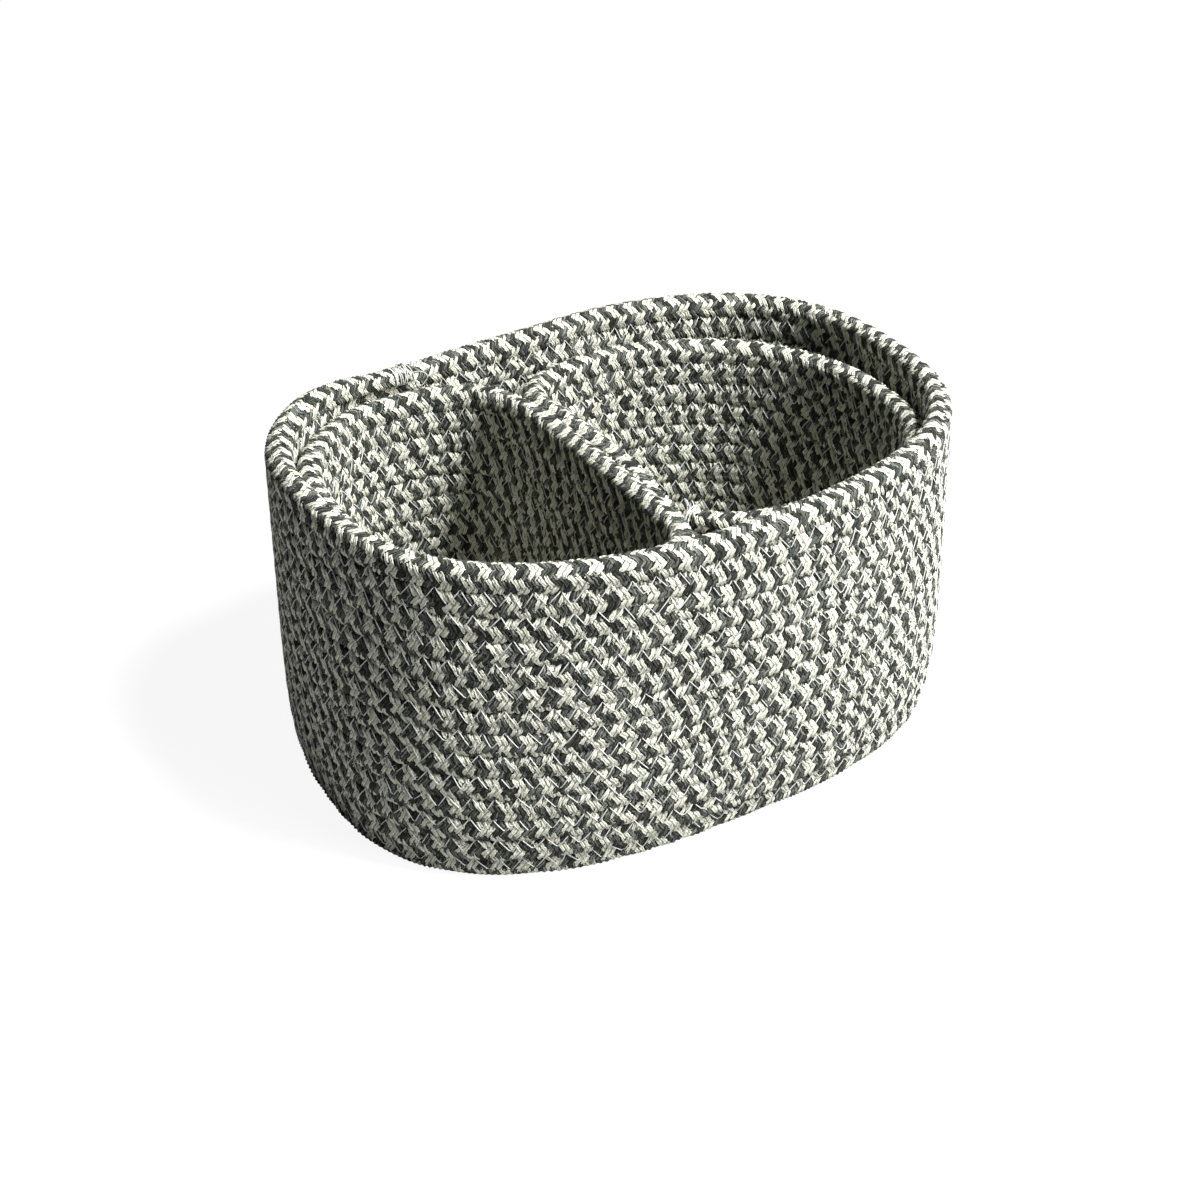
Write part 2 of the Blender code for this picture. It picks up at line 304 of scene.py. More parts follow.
class Rope:
    """One wound rope: its place on any level, and its whole route."""

    def __init__(self, loop_at, floor_loops, courses, heights, core, climb, end, lift=None):
        self.outlines = np.stack([loop_at(course) for course in range(courses)])
        self.floor_loops, self.courses = floor_loops, courses
        self.wall_start, self.floor_height = heights
        self.core = core
        self.climb_lead, self.climb_length = climb
        self.end_run, self.end_aside, self.end_tall, self.end_across, self.end_whipped = end
        self.lift = lift
        self.loop_length = length_of(self.outlines[-1])
        low_end, high_end = core
        span = (high_end - low_end) / np.linalg.norm(high_end - low_end)
        edge = self.outlines[0] - (low_end + high_end) / 2
        self.reach = np.abs(edge @ np.array([-span[1], span[0]])).max()

    def place(self, level, share):
        """Centre line points at levels and shares of a loop, both arrays. Floor loops count down from -1."""
        whole = np.clip(np.floor(level), 0, self.courses - 1).astype(int)
        above = np.minimum(whole + 1, self.courses - 1)
        rise = np.clip(level - whole, 0, 1)[:, None]
        index = np.mod(share, 1.0) * LOOP_SAMPLES
        low = np.floor(index).astype(int) % LOOP_SAMPLES
        high = (low + 1) % LOOP_SAMPLES
        part = (index - np.floor(index))[:, None]
        here = self.outlines[whole, low] * (1 - part) + self.outlines[whole, high] * part
        over = self.outlines[above, low] * (1 - part) + self.outlines[above, high] * part
        flat = here * (1 - rise) + over * rise
        # floor loops shrink towards the floor's straight start
        low_end, high_end = self.core
        span = high_end - low_end
        along = np.clip(((flat - low_end) @ span) / (span @ span), 0, 1)[:, None]
        middle = low_end + along * span
        last = 1 - COURSE_PITCH / self.reach
        out = np.where(level >= -1, 1 + level * (1 - last),
                       last * (self.floor_loops + 1 + level) / self.floor_loops)
        out = np.clip(np.where(level >= 0, 1, out), 0, 1)[:, None]
        flat = middle + (flat - middle) * out
        height = np.where(level >= 0, self.wall_start + level * COURSE_PITCH,
                          blend(self.wall_start, self.floor_height, np.clip(-level, 0, 1)))
        if self.lift:
            height = height + self.lift(flat) * np.clip(level / (self.courses - 1), 0, 1)
        return np.column_stack([flat, height])

    def climbed(self, past):
        """Share of the climb to the next course at a distance past the place of the rope's end."""
        return smooth((past + self.climb_lead) / self.climb_length)

    def level(self, loop, share):
        """Level of the rope on a loop, at a share of the way round."""
        first_from, first_over = FIRST_MOVE
        first = smooth((share - first_from) / first_over)
        floor = smooth((share - FLOOR_MOVE_FROM) / min(FLOOR_MOVE_LENGTH / self.loop_length, FLOOR_MOVE_MOST))
        wall = self.climbed(share * self.loop_length)
        moved = np.where(loop == -self.floor_loops, first, np.where(loop <= 0, floor, wall))
        ahead = np.where(loop >= 0, self.climbed((share - 1) * self.loop_length), 0)
        return loop - 1 + moved + ahead

    def end_share(self, turns):
        """0 along the rope, rising to 1 over the stretch that is laid down at its end."""
        return smooth(((turns - self.courses) * self.loop_length + self.end_run) / self.end_run)

    def across(self, ending):
        return blend(ROPE_ACROSS, self.end_across, ending)

    def tall(self, ending):
        return blend(ROPE_TALL, self.end_tall, ending)

    def lay_end_down(self, points, turns, level, share):
        """Lays the end on the right shoulder of the course below."""
        laid = np.flatnonzero(self.end_share(turns) > 0)
        ending = self.end_share(turns[laid])
        below = self.place(level[laid] - 1, share[laid])
        right = right_of(self.outlines[-1])[(share[laid] * LOOP_SAMPLES).astype(int) % LOOP_SAMPLES]
        aside = self.end_aside * ending
        apart = NEST * (ROPE_TALL + self.tall(ending)) / 2
        points[laid, :2] = below[:, :2] + right * aside[:, None]
        points[laid, 2] = below[:, 2] + np.sqrt(apart ** 2 - aside ** 2)

    def route(self):
        """Centre line at one net ring after another, with the count of turns and the run at each."""
        turns = np.append(np.arange(-self.floor_loops, self.courses, 1 / LOOP_SAMPLES), float(self.courses))
        loop = np.minimum(np.floor(turns + TINY), self.courses - 1)
        share = turns - loop
        level = self.level(loop, share)
        points = self.place(level, share)
        self.lay_end_down(points, turns, level, share)
        run = run_of(points)
        keep = np.concatenate([[True], np.diff(run) > TINY])
        points, run, turns = points[keep], run[keep], turns[keep]
        at = np.arange(0, run[-1] + ROUTE_SPARE, BRAID_LAY / BRAID_NET)
        at = at + waves(LAY_WANDER, at)
        at = at[(at > 0) & (at < run[-1])]
        return soften_path(read_off(at, run, points), ROUTE_SOFTENING), np.interp(at, run, turns), at


def cup_rope(points, loops, climb, end, rise):
    rim = cup_outline(points)
    right = right_of(rim)

    def loop_at(course):
        return rim + right * tuck(course, CUP_FOOT_TUCK)

    return Rope(loop_at, loops, CUP_COURSES, (CUP_WALL_START_HEIGHT, CUP_FLOOR_HEIGHT),
                cup_core(loop_at(0)), climb, end, beside_divider(rise))


# Rope and thread as meshes

def frames_of(points):
    """Tangents along a route, normals to the left of it, and normals upward."""
    tangent = unit(np.gradient(points, axis=0))
    leftward = unit(np.cross([0, 0, 1.0], tangent))
    return tangent, leftward, np.cross(tangent, leftward)


def net_faces(rings, first_ring):
    """Triangles of a rope's net, and their corners on the braid map.

    Each quad is split along its strand, or along the valley between two strands.
    """
    j, k = np.meshgrid(np.arange(rings - 1), np.arange(BRAID_NET), indexing="ij")
    ring, side = (j + first_ring).ravel(), k.ravel()
    a = (j * BRAID_NET + k).ravel()
    b = (j * BRAID_NET + (k + 1) % BRAID_NET).ravel()
    c = ((j + 1) * BRAID_NET + (k + 1) % BRAID_NET).ravel()
    d = ((j + 1) * BRAID_NET + k).ravel()
    odd = (ring + side) % 2 == 1
    s_cell = (side + ring) // 2
    z_cell = (side - ring) // 2
    z_cell_even = (side - ring - 1) // 2
    main_ridge = odd & ((s_cell + z_cell) % 4 == 2)
    anti_ridge = ~odd & ((s_cell + z_cell_even) % 4 == 0)
    main = np.where(odd, main_ridge, ~anti_ridge)[:, None]
    one = np.where(main, np.stack([a, b, c], -1), np.stack([a, b, d], -1))
    two = np.where(main, np.stack([a, c, d], -1), np.stack([b, c, d], -1))
    faces = np.stack([one, two], 1).reshape(-1, 3)
    pick_one = np.where(main, [[0, 1, 2]], [[0, 1, 3]])
    pick_two = np.where(main, [[0, 2, 3]], [[1, 2, 3]])
    rows = np.arange(len(a))[:, None]

    def at_corners(corners):
        return np.stack([corners[rows, pick_one], corners[rows, pick_two]], 1).reshape(-1) / BRAID_NET

    u = at_corners(np.stack([ring, ring, ring + 1, ring + 1], -1))
    v = at_corners(np.stack([side, side + 1, side + 1, side], -1))
    return faces, u, v


def mesh_object(name, verts, faces, material, uv=None):
    """A smooth mesh of triangles as a new object."""
    mesh = bpy.data.meshes.new(name)
    mesh.vertices.add(len(verts))
    mesh.vertices.foreach_set("co", np.asarray(verts, np.float32).ravel())
    mesh.loops.add(faces.size)
    mesh.loops.foreach_set("vertex_index", faces.astype(np.int32).ravel())
    mesh.polygons.add(len(faces))
    mesh.polygons.foreach_set("loop_start", np.arange(0, faces.size, 3, dtype=np.int32))
    mesh.update(calc_edges=True)
    if uv is not None:
        layer = mesh.uv_layers.new(name="braid")
        layer.uv.foreach_set("vector", np.asarray(uv, np.float32).ravel())
    mesh.shade_smooth()
    mesh.materials.append(material)
    mesh.validate()
    made = bpy.data.objects.new(name, mesh)
    bpy.context.scene.collection.objects.link(made)
    return made


def section(angle, across, tall, squareness, rim):
    """Distances from a rope's middle to its surface at angles from its left side.

    The upper half of a rim is its crown.
    """
    c, s = np.abs(np.cos(angle)), np.abs(np.sin(angle))
    if rim:
        squareness = np.where(np.sin(angle) > 0, CROWN_SQUARENESS, squareness)
        tall = np.where(np.sin(angle) > 0, np.minimum(tall, CROWN_TALL), tall)
    return ((c / (across / 2)) ** squareness + (s / (tall / 2)) ** squareness) ** (-1 / squareness)


def rope_piece(name, points, run, first_ring, across, tall, squareness, rim, underside, material):
    """A stretch of rope as a closed tube with its braid's relief. Sizes are single or one per ring."""
    rings = len(points)
    tangent, leftward, upward = frames_of(points)
    side = np.arange(BRAID_NET)[None, :]
    angle = side * 2 * np.pi / BRAID_NET + waves(TWIST_WANDER, run)[:, None]
    across, tall, squareness = (np.broadcast_to(v, rings)[:, None] for v in (across, tall, squareness))
    radius = section(angle, across, tall, squareness, rim)
    ring = np.arange(rings)[:, None] + first_ring
    relief = np.where((ring + side) % 2 == 1, 1.0, -1.0) * STRAND_RELIEF
    pressed = 1 - PRESSED_FLAT * np.abs(np.sin(angle)) ** PRESSED_POWER
    radius = radius + relief * pressed * np.minimum(across / ROPE_ACROSS, 1)
    offset = (np.cos(angle)[:, :, None] * leftward[:, None, :]
              + np.sin(angle)[:, :, None] * upward[:, None, :])
    verts = (points[:, None, :] + offset * radius[:, :, None]).reshape(-1, 3)
    faces, u, v = net_faces(rings, first_ring)
    caps, cap_u, cap_v = [], [], []
    for end, turn in ((0, 1), (rings - 1, -1)):
        verts = np.vstack([verts, points[end] - turn * tangent[end] * across[end] * CUT_END_BULGE])
        tip = len(verts) - 1
        for k in range(BRAID_NET):
            pair = [end * BRAID_NET + k, end * BRAID_NET + (k + 1) % BRAID_NET]
            sides = [k / BRAID_NET, (k + 1) / BRAID_NET]
            lay = (end + first_ring) / BRAID_NET
            caps.append([tip] + pair[::-turn])
            cap_u += [lay + 0.1, lay, lay]
            cap_v += [(k + 0.5) / BRAID_NET] + sides[::-turn]
    verts[:, 2] = np.maximum(verts[:, 2], underside)
    uv = np.stack([np.concatenate([u, cap_u]), np.concatenate([v, cap_v])], -1)
    return mesh_object(name, verts, np.vstack([faces, np.array(caps)]), material, uv)


def tube(points, across=THREAD_ACROSS, sides=4):
    """Vertices and triangles of a closed tube along points."""
    tangent = unit(np.gradient(points, axis=0))
    guide = np.where(np.abs(tangent[:, 2:3]) < 0.9, [[0, 0, 1.0]], [[1.0, 0, 0]])
    one = unit(np.cross(guide, tangent))
    two = np.cross(tangent, one)
    angle = (np.arange(sides) + 0.5) * 2 * np.pi / sides
    verts = (points[:, None] + across / 2 * (np.cos(angle)[None, :, None] * one[:, None]
                                             + np.sin(angle)[None, :, None] * two[:, None]))
    j, k = np.meshgrid(np.arange(len(points) - 1), np.arange(sides), indexing="ij")
    a = (j * sides + k).ravel()
    b = (j * sides + (k + 1) % sides).ravel()
    c, d = b + sides, a + sides
    faces = np.concatenate([np.stack([a, b, c], -1), np.stack([a, c, d], -1)])
    last = (len(points) - 1) * sides
    caps = [[0, n + 1, n] for n in range(1, sides - 1)]
    caps += [[last, last + n, last + n + 1] for n in range(1, sides - 1)]
    return verts.reshape(-1, 3), np.vstack([faces, np.array(caps)])


def join(parts):
    """Several vertex and face sets as one."""
    verts, faces, count = [], [], 0
    for v, f in parts:
        verts.append(v)
        faces.append(f + count)
        count += len(v)
    return np.vstack(verts), np.vstack(faces)


def groove_thread(rope, face):
    """The zigzag thread along a rope's grooves, to the left of its run (face 1) or the right (face -1)."""
    rng = np.random.default_rng(THREAD_SEED + face)
    stop = rope.courses - THREAD_STOP / rope.loop_length - 1
    turns = np.arange(-rope.floor_loops + 1, stop, 1 / LOOP_SAMPLES)
    loop = np.floor(turns + TINY)
    share = turns - loop
    level = rope.level(loop, share)
    low = rope.place(level, share)
    high = rope.place(level + 1, share)
    middle = (low + high) / 2
    run = run_of(middle)
    half = STITCH_PERIOD / 2
    holes = int(run[-1] / half)
    number = np.repeat(np.arange(holes), len(STITCH_LEG))
    part = np.tile(STITCH_LEG, holes)

    def from_hole_to_hole(values):
        return values[number] * (1 - part) + values[number + 1] * part

    wander = rng.uniform(-NEEDLE_WANDER, NEEDLE_WANDER, holes + 1) * half
    reach = np.where(np.arange(holes + 1) % 2, STITCH_UP, -STITCH_DOWN)
    reach = rng.uniform(*NEEDLE_REACH, holes + 1) * reach
    at = np.clip((number + part) * half + from_hole_to_hole(wander), 0, run[-1])
    up = from_hole_to_hole(reach)
    centre = read_off(at, run, middle)
    axis = unit(read_off(at, run, high - low))
    ahead = read_off(at, run, np.gradient(middle, axis=0))
    normal = unit(np.cross(axis, ahead) * face)
    # how far out the rope's surface is, and the thread across a groove
    level = np.interp(at, run, level)
    thick = np.where(level < -0.5, FLOOR_ROPE_TALL, ROPE_ACROSS)
    from_rope = np.clip((COURSE_PITCH / 2 - np.abs(up)) / (ROPE_TALL / 2), 0, 1)
    surface = thick / 2 * (1 - from_rope ** ROPE_SQUARENESS) ** (1 / ROPE_SQUARENESS)
    in_hole = part == 0
    out = np.where(in_hole, surface - NEEDLE_HOLE_DEPTH,
                   np.maximum(surface, thick / 2 - GROOVE_BRIDGE) + THREAD_ACROSS * THREAD_PROUD)
    # under the foot, where the floor turns up into the wall, the stitches are drawn into the rope
    under_foot = (face > 0) & (level > TURNING_UP[0]) & (level < TURNING_UP[1])
    out = np.where(under_foot, 0.0, out)
    return centre + axis * up[:, None] + normal * out[:, None]


def whipping(points, across, tall, rounds, seed):
    """Sewing thread wound untidily round a rope's last stretch: one path that goes there and back."""
    rng = np.random.default_rng(seed)
    tangent, leftward, upward = frames_of(points)
    rings = np.arange(len(points))
    t = np.linspace(0, 1, rounds * WHIPPING_POINTS)

    def uneven(low, high, knots):
        return np.interp(t, np.linspace(0, 1, knots + 1), rng.uniform(low, high, knots + 1))

    along, around = WHIPPING_WANDER
    there = np.where(t < WHIPPING_AHEAD, t / WHIPPING_AHEAD, (1 - t) / (1 - WHIPPING_AHEAD))
    at = np.clip(there + uneven(-along, along, rounds), 0, 1) * (len(points) - 1)
    angle = 2 * np.pi * rounds * t + uneven(-around, around, rounds)
    radius = section(angle, np.interp(at, rings, across) + THREAD_ACROSS,
                     np.interp(at, rings, tall) + THREAD_ACROSS, WHIPPING_SQUARENESS, True)
    radius = radius * uneven(*WHIPPING_SLACK, WHIPPING_SLACK_KNOTS * rounds)
    return (read_off(at, rings, points) + read_off(at, rings, leftward) * (np.cos(angle) * radius)[:, None]
            + read_off(at, rings, upward) * (np.sin(angle) * radius)[:, None])


def end_threads(rope, points, ending):
    """Tubes of the thread wound twice round a rope's end, and of the two loose threads there."""
    last = slice(len(points) - rope.end_whipped, len(points))
    rounds = WHIPPING_ROUNDS + (rope.end_whipped - WHIPPING_ROUNDS) // 2
    made = [tube(whipping(points[last], rope.across(ending[last]), rope.tall(ending[last]),
                          rounds - number, WHIPPING_SEED + number)) for number in range(2)]
    tip, back = points[-1], points[-5]
    ahead = (tip - back) / np.linalg.norm(tip - back)
    up = np.array([0, 0, rope.end_tall / 2])
    side = np.cross(ahead, [0, 0, 1.0]) * rope.end_across / 2
    for steps in LOOSE_THREADS:
        given = tip + np.array(steps) @ np.array([up, side, ahead])
        number = np.arange(len(given))
        path = read_off(np.linspace(0, len(given) - 1, LOOSE_THREAD_POINTS), number, given)
        made.append(tube(soften_path(path, LOOSE_THREAD_SOFTENING)))
    return made


# Materials

CREAM = (0.87, 0.875, 0.745, 1.0)
WORN_CREAM = (0.44, 0.445, 0.36, 1.0)
CHARCOAL = (0.018, 0.023, 0.021, 1.0)
OLIVE_CHARCOAL = (0.034, 0.037, 0.023, 1.0)
LIGHT_CHARCOAL = (0.300, 0.325, 0.290, 1.0)
THREAD_WHITE = (0.88, 0.885, 0.85, 1.0)
THREAD_SHADE = (0.66, 0.66375, 0.6375, 1.0)

FLECKS = (0.40, 0.72)         # fibre noise at which charcoal starts to lighten, and is light
OLIVE_PATCHES = (0.38, 0.62)
WEAR = (0.62, 1.00)           # and at which cream starts to look worn
# painted shade, darkening the base colour between strands and between yarns:
HOLLOWS = (0.30, 0.85)        # depth at which the shade between strands starts, and is full
HOLLOW_SHADE = (0.84, 0.34)   # how dark it is on charcoal, and how much less on cream
YARN_GAP_SHADE = (0.72, 0.42)
CROWN_SHARE = 0.55            # share of a strand's height that rises along it, towards its middle
BOW_POWER = 0.6               # fullness of its round across
YARN_SHARE = 0.40             # share of the height that is the round of single yarns
FIBRE_STRETCH = (0.20, 2.2)   # noise along the yarn, and across it
SKIN_GRAIN = 0.16             # height of fibres against that of strands
STRAND_BUMP = 0.0006
THREAD_BUMP = 0.0001


def socket(tree, name, way, kind):
    return tree.interface.new_socket(name=name, in_out=way, socket_type=kind)


class Nodes:
    """Short hand for placing linked nodes in a tree."""

    def __init__(self, tree):
        self.tree = tree

    def add(self, kind, **settings):
        node = self.tree.nodes.new(kind)
        for key, value in settings.items():
            setattr(node, key, value)
        return node

    def put(self, source, target):
        if isinstance(source, bpy.types.NodeSocket):
            self.tree.links.new(source, target)
        else:
            target.default_value = source

    def math(self, operation, *values):
        node = self.add("ShaderNodeMath", operation=operation)
        for value, target in zip(values, node.inputs):
            self.put(value, target)
        return node.outputs[0]

    def plus(self, one, other):
        return self.math("ADD", one, other)

    def minus(self, one, other):
        return self.math("SUBTRACT", one, other)

    def times(self, one, other):
        return self.math("MULTIPLY", one, other)

    def whole(self, value):
        return self.math("FLOOR", value)

    def in_repeat(self, value):
        """Place of a strand count in the braid's repeat."""
        return self.math("FLOORED_MODULO", value, BRAID_REPEAT)

    def mix(self, factor, one, two, way="MIX"):
        node = self.add("ShaderNodeMix", data_type="RGBA", blend_type=way)
        self.put(factor, node.inputs["Factor"])
        self.put(one, node.inputs[6])
        self.put(two, node.inputs[7])
        return node.outputs[2]

    def ramp(self, value, low, high):
        """0 below low, 1 above high, smooth between."""
        node = self.add("ShaderNodeMapRange", interpolation_type="SMOOTHSTEP")
        self.put(value, node.inputs["Value"])
        node.inputs["From Min"].default_value = low
        node.inputs["From Max"].default_value = high
        return node.outputs["Result"]

    def vector(self, x, y, z=0.0):
        node = self.add("ShaderNodeCombineXYZ")
        for value, target in zip((x, y, z), node.inputs):
            self.put(value, target)
        return node.outputs[0]

    def split(self, vector):
        node = self.add("ShaderNodeSeparateXYZ")
        self.put(vector, node.inputs[0])
        return node.outputs

    def scatter(self, one, other):
        """A number from 0 to 1 that differs with each pair of values."""
        node = self.add("ShaderNodeTexWhiteNoise", noise_dimensions="2D")
        self.put(self.vector(one, other), node.inputs["Vector"])
        return node.outputs["Value"]

    def noise(self, vector, scale, detail, roughness, output="Fac"):
        node = self.add("ShaderNodeTexNoise")
        self.put(vector, node.inputs["Vector"])
        node.inputs["Scale"].default_value = scale
        node.inputs["Detail"].default_value = detail
        node.inputs["Roughness"].default_value = roughness
        return node.outputs[output]

    def bump(self, height, strength, distance, normal):
        node = self.add("ShaderNodeBump")
        node.inputs["Strength"].default_value = strength
        node.inputs["Distance"].default_value = distance
        self.put(height, node.inputs["Height"])
        self.put(node.outputs[0], normal)


def new_material(name, constants):
    """A material, its nodes and its shader, with the values that are the same all over it."""
    made = bpy.data.materials.new(name)
    made.use_nodes = True
    shader = made.node_tree.nodes["Principled BSDF"]
    for key, value in constants.items():
        shader.inputs[key].default_value = value
    return made, Nodes(made.node_tree), shader


def braid_group():
    """The braid's cells from the rope's own map: which strand is on top, its yarns, and its height."""
    tree = bpy.data.node_groups.new("braided_strands", "ShaderNodeTree")
    for name in ("Cream", "Height", "Yarn Tone", "Yarn Line"):
        socket(tree, name, "OUTPUT", "NodeSocketFloat")
    socket(tree, "Yarn Direction", "OUTPUT", "NodeSocketVector")
    socket(tree, "Braid Map", "INPUT", "NodeSocketVector")
    n = Nodes(tree)
    given = n.add("NodeGroupInput")
    out = n.add("NodeGroupOutput")
    u, v, _ = n.split(given.outputs["Braid Map"])

    # places on the rope's skin in millimetres, without a seam where the rope closes
    round_rope = n.times(v, 2 * math.pi)
    place = n.vector(n.times(u, BRAID_LAY * 1000),
                     n.times(n.math("COSINE", round_rope), ROPE_ACROSS * 500),
                     n.times(n.math("SINE", round_rope), ROPE_ACROSS * 500))
    # the two ways that strands run, S and Z, counted in strands, with edges that wander a little
    sway = n.split(n.noise(place, scale=0.55, detail=3.0, roughness=0.6, output="Color"))
    strands = BRAID_NET / 2
    s = n.plus(n.times(n.plus(v, u), strands), n.times(n.minus(sway[0], 0.5), STRAND_WANDER))
    z = n.plus(n.times(n.minus(v, u), strands), n.times(n.minus(sway[1], 0.5), STRAND_WANDER))
    s_cell, z_cell = n.whole(s), n.whole(z)
    s_along, z_along = n.plus(z, s_cell), n.plus(s, z_cell)
    # each yarn of a strand dives under a little sooner or later than its neighbours
    s_yarn, z_yarn = n.whole(n.times(s, 2 * YARNS)), n.whole(n.times(z, 2 * YARNS))

    def s_over(cell, other, yarn, along):
        """1 where the S strand lies over the Z strand, with the uneven ends of one way's yarns."""
        late = n.minus(n.scatter(yarn, n.math("ROUND", n.times(along, 0.5))), 0.5)
        crossed = n.whole(n.plus(other, n.times(late, YARN_ENDS)))
        return n.math("LESS_THAN", n.in_repeat(n.plus(cell, crossed)), OVER_REACH)

    s_claim = s_over(s_cell, z, s_yarn, s_along)
    z_claim = n.minus(1.0, s_over(z_cell, s, z_yarn, z_along))
    chance = n.times(n.minus(n.scatter(s_yarn, z_yarn), 0.5), YARN_CHANCE)
    s_top = n.math("GREATER_THAN", n.plus(n.times(n.minus(s_claim, z_claim), 0.5), chance), 0.0)

    def choose(one, other):
        """one where the S strand is on top, other where the Z strand is."""
        return n.plus(n.times(one, s_top), n.times(other, n.minus(1.0, s_top)))

    def cream(strand):
        """1 on the cream strands of every repeat, whose pair is a little narrower than the charcoal one."""
        start, breadth = CREAM_STRANDS
        return n.math("LESS_THAN", n.in_repeat(n.minus(strand, start)), breadth)

    across = choose(n.math("FRACT", s), n.math("FRACT", z))
    along = n.times(choose(n.in_repeat(s_along), n.minus(n.in_repeat(z_along), 2.0)), 0.5)
    crown = n.math("MAXIMUM", n.math("SINE", n.times(along, math.pi)), 0.0)
    bow = n.math("MAXIMUM", n.math("SINE", n.times(across, math.pi)), 0.0)
    bow = n.math("POWER", bow, BOW_POWER)
    line = n.math("ABSOLUTE", n.math("SINE", n.times(across, YARNS * math.pi)))
    height = n.times(bow, n.plus(1 - CROWN_SHARE, n.times(crown, CROWN_SHARE)))
    yarn = n.plus(n.whole(n.times(across, YARNS)), n.times(s_top, 7.0))
    tone = n.scatter(n.plus(choose(s_cell, z_cell), n.times(yarn, 0.13)),
                     n.whole(n.times(choose(s_along, z_along), 0.25)))
    n.put(choose(cream(s), cream(z)), out.inputs["Cream"])
    n.put(n.plus(n.times(height, 1 - YARN_SHARE), n.times(line, YARN_SHARE)), out.inputs["Height"])
    n.put(tone, out.inputs["Yarn Tone"])
    n.put(line, out.inputs["Yarn Line"])
    # slow along the yarn and quick across it, for fibres
    slow, quick = FIBRE_STRETCH
    n.put(n.vector(n.times(choose(z, s), slow), n.times(choose(s, z), quick), n.times(s_top, 9.0)),
          out.inputs["Yarn Direction"])
    return tree


def rope_material(name, braid):
    made, n, shader = new_material(
        name, {"Specular IOR Level": 0.18, "Sheen Weight": 0.06, "Sheen Roughness": 0.5})
    strands = n.add("ShaderNodeGroup", node_tree=braid)
    n.put(n.add("ShaderNodeUVMap", uv_map="braid").outputs[0], strands.inputs["Braid Map"])
    cream, height, tone, line, direction = (
        strands.outputs[key] for key in ("Cream", "Height", "Yarn Tone", "Yarn Line", "Yarn Direction"))
    fibres = n.noise(direction, scale=2.0, detail=3.0, roughness=0.65)
    patches = n.noise(direction, scale=0.45, detail=2.0, roughness=0.5)
    grain = n.times(n.minus(fibres, 0.5), 2.0)
    # charcoal yarns with light flecks, cream yarns with worn ones
    fleck = n.ramp(n.plus(n.times(fibres, 0.75), n.times(tone, 0.25)), *FLECKS)
    dark = n.mix(fleck, n.mix(n.ramp(patches, *OLIVE_PATCHES), CHARCOAL, OLIVE_CHARCOAL), LIGHT_CHARCOAL)
    light = n.mix(n.ramp(n.plus(fibres, n.times(tone, 0.20)), *WEAR), CREAM, WORN_CREAM)
    colour = n.mix(cream, dark, light)

    def open_to_light(closed, painted_shade):
        """Painted shade: 1 in the open, less where it is closed in, and less dark there on cream."""
        on_charcoal, less_on_cream = painted_shade
        return n.minus(1.0, n.times(closed, n.minus(on_charcoal, n.times(cream, less_on_cream))))

    # painted shade: the base colour is darkened in the hollows between strands and in the gaps between yarns,
    # less on cream
    painted_shade = n.times(open_to_light(n.ramp(n.minus(1.0, height), *HOLLOWS), HOLLOW_SHADE),
                    open_to_light(n.minus(1.0, line), YARN_GAP_SHADE))
    grey = n.add("ShaderNodeCombineColor")
    for target in grey.inputs:
        n.put(painted_shade, target)
    n.put(n.mix(1.0, colour, grey.outputs[0], "MULTIPLY"), shader.inputs["Base Color"])
    n.put(n.plus(0.82, n.times(grain, 0.10)), shader.inputs["Roughness"])
    n.bump(n.plus(height, n.times(grain, SKIN_GRAIN)), 1.0, STRAND_BUMP, shader.inputs["Normal"])
    return made


def thread_material(name):
    made, n, shader = new_material(name, {"Sheen Weight": 0.15, "Roughness": 0.6})
    place = n.add("ShaderNodeTexCoord").outputs["Object"]
    twist = n.noise(place, scale=2600.0, detail=2.0, roughness=0.6)
    n.put(n.mix(twist, THREAD_WHITE, THREAD_SHADE), shader.inputs["Base Color"])
    n.bump(twist, 0.5, THREAD_BUMP, shader.inputs["Normal"])
    return made


# The three ropes

def build_rope(label, body, rope, bands, underside, cotton, thread):
    """A rope's floor, its wall in bands of courses, and its rim, with the zigzag thread on both faces."""
    points, turns, run = rope.route()
    last = rope.courses - 1
    edges = [-rope.floor_loops, 0] + bands + [last, rope.courses + 1]
    nodes = [label + "_" + kind + "_coil" for kind in ("floor", "wall", "rim")]
    ending = rope.end_share(turns)
    for number, (start, end) in enumerate(zip(edges, edges[1:])):
        pick = np.flatnonzero((turns >= start) & (turns < end))
        first, stop = int(pick[0]), min(int(pick[-1]) + 2, len(points))
        kind = 0 if end <= 0 else 2 if start >= last else 1
        name = label + ("_floor_rope", "_wall_rope_%d" % number, "_rim_rope")[kind]
        here = ending[first:stop]
        across, tall = rope.across(here), rope.tall(here)
        if kind == 0:
            across, tall = FLOOR_ROPE_ACROSS, FLOOR_ROPE_TALL
        piece = rope_piece(name, points[first:stop], run[first:stop], first, across, tall,
                           ROPE_SQUARENESS - END_SQUARENESS_LOSS * here, kind == 2,
                           underside + UNDERSIDE_GAP, cotton)
        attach(piece, body)
        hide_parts(nodes[kind])
    for where, face in (("outside", 1), ("inside", -1)):
        sewn = [tube(groove_thread(rope, face))]
        if face > 0:
            sewn += end_threads(rope, points, ending)
        verts, faces = join(sewn)
        verts[:, 2] = np.maximum(verts[:, 2], underside)
        piece = mesh_object(label + "_zigzag_thread_" + where, verts, faces, thread)
        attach(piece, body)


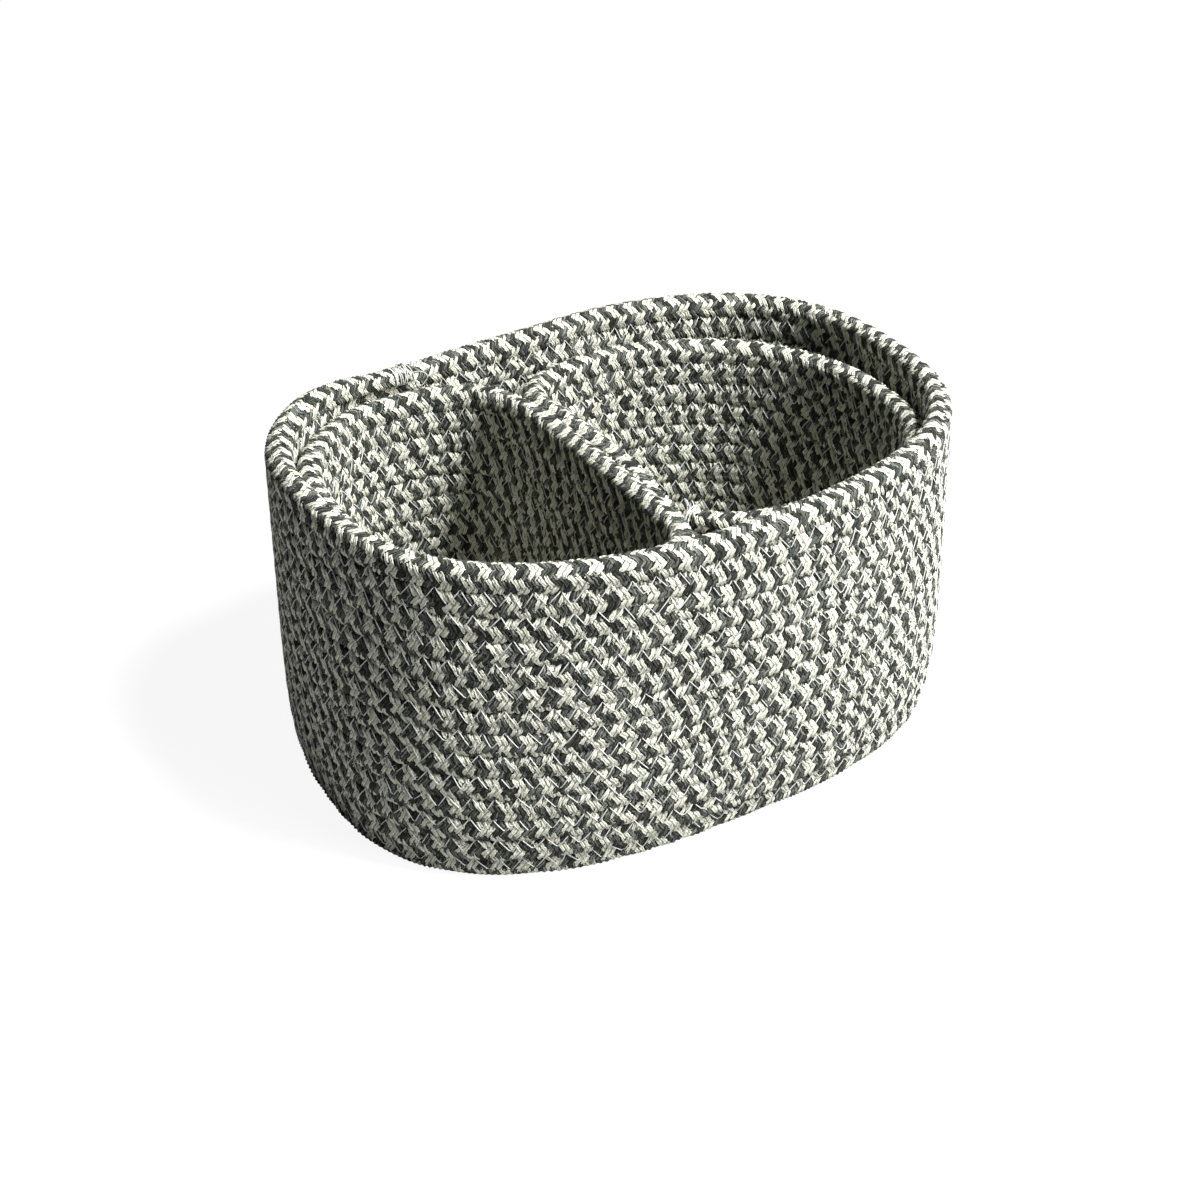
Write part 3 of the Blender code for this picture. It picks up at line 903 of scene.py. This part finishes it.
def build_ropes():
    cotton = rope_material("braided_cotton", braid_group())
    thread = thread_material("white_sewing_thread")
    middle_reach = OVAL_HALF_LENGTH + FOOT_SPREAD - OVAL_HALF_WIDTH
    outer = Rope(oval_loop, OVAL_FLOOR_LOOPS, OVAL_COURSES, (WALL_START_HEIGHT, FLOOR_HEIGHT),
                 (np.array([-middle_reach, 0.0]), np.array([middle_reach, 0.0])), OVAL_CLIMB, OVAL_END)
    left = cup_rope(LEFT_CUP_RIM, LEFT_CUP_FLOOR_LOOPS, LEFT_CUP_CLIMB, LEFT_CUP_END, LEFT_CUP_RISE)
    right = cup_rope(RIGHT_CUP_RIM, RIGHT_CUP_FLOOR_LOOPS, RIGHT_CUP_CLIMB, RIGHT_CUP_END, RIGHT_CUP_RISE)
    build_rope("outer", "outer_basket", outer, OVAL_BANDS, 0.0, cotton, thread)
    build_rope("left_cup", "left_cup", left, CUP_BANDS, CUP_UNDERSIDE, cotton, thread)
    build_rope("right_cup", "right_cup", right, CUP_BANDS, CUP_UNDERSIDE, cotton, thread)


# Stage, light and camera

CAMERA_PLACE = (-0.34826, -0.58003, 0.48830)
CAMERA_LOOK = (-0.02116, -0.02089, 0.0700)
CAMERA_LENS = 56.39
CAMERA_SENSOR = 36.0
CAMERA_ROLL = -0.25

FLOOR_SIZE = 6
FLOOR_GREY = (0.42, 0.42, 0.42, 1.0)
FLOOR_GLOW = 1.14             # seen by the camera alone
FLOOR_GLOW_SHARE = 0.80       # the rest of the floor's look is its lit grey, which keeps the shadow
WORLD_LIGHT = 0.018
WORLD_SEEN = 0.896            # added for the camera, so that the backdrop is as pale as the far floor
WHITE = (1.0, 1.0, 1.0, 1.0)

LAMP_AIM = (0, 0, 0.07)
LAMPS = (                     # name, place, size, power and colour
    ("key", (0.55, -0.73, 1.79), 0.20, 52.0, (1.0, 1.0, 0.98)),
    ("soft_fill", (0.77, -1.33, 1.36), 0.80, 39.0, (1.0, 1.0, 1.0)),
    ("back_fill", (0.35, 1.75, 0.95), 1.00, 7.5, (1.0, 1.0, 1.0)),
)


def towards(place, target):
    """The turn with which a lamp or a camera at a place looks at a target."""
    return (Vector(target) - Vector(place)).to_track_quat("-Z", "Y")


def build_stage():
    bpy.ops.mesh.primitive_plane_add(size=FLOOR_SIZE)
    floor = bpy.context.active_object
    floor.name = "floor"
    made, n, shader = new_material("pale_floor", {"Base Color": FLOOR_GREY, "Roughness": 0.9})
    glow = n.add("ShaderNodeEmission")
    glow.inputs["Color"].default_value = WHITE
    glow.inputs["Strength"].default_value = FLOOR_GLOW
    seen = n.add("ShaderNodeLightPath").outputs["Is Camera Ray"]
    mixed = n.add("ShaderNodeMixShader")
    n.put(n.times(seen, FLOOR_GLOW_SHARE), mixed.inputs[0])
    n.put(shader.outputs[0], mixed.inputs[1])
    n.put(glow.outputs[0], mixed.inputs[2])
    n.put(mixed.outputs[0], made.node_tree.nodes["Material Output"].inputs["Surface"])
    floor.data.materials.append(made)


def build_world():
    world = bpy.data.worlds.new("studio")
    bpy.context.scene.world = world
    world.use_nodes = True
    n = Nodes(world.node_tree)
    background = world.node_tree.nodes["Background"]
    background.inputs["Color"].default_value = WHITE
    seen = n.add("ShaderNodeLightPath").outputs["Is Camera Ray"]
    n.put(n.plus(WORLD_LIGHT, n.times(seen, WORLD_SEEN)), background.inputs["Strength"])


def build_lamp(name, place, size, power, colour):
    data = bpy.data.lights.new(name, "AREA")
    data.size = size
    data.energy = power
    data.color = colour
    made = bpy.data.objects.new(name, data)
    made.location = place
    made.rotation_euler = towards(place, LAMP_AIM).to_euler()
    bpy.context.scene.collection.objects.link(made)


def build_camera():
    data = bpy.data.cameras.new("camera")
    data.lens = CAMERA_LENS
    data.sensor_width = CAMERA_SENSOR
    made = bpy.data.objects.new("camera", data)
    aim = towards(CAMERA_PLACE, CAMERA_LOOK).to_matrix().to_4x4()
    roll = Matrix.Rotation(math.radians(CAMERA_ROLL), 4, "Z")
    made.matrix_world = Matrix.Translation(CAMERA_PLACE) @ aim @ roll
    bpy.context.scene.collection.objects.link(made)
    bpy.context.scene.camera = made


build_ropes()
build_stage()
build_world()
for lamp in LAMPS:
    build_lamp(*lamp)
build_camera()
bpy.context.scene.view_settings.view_transform = "Standard"
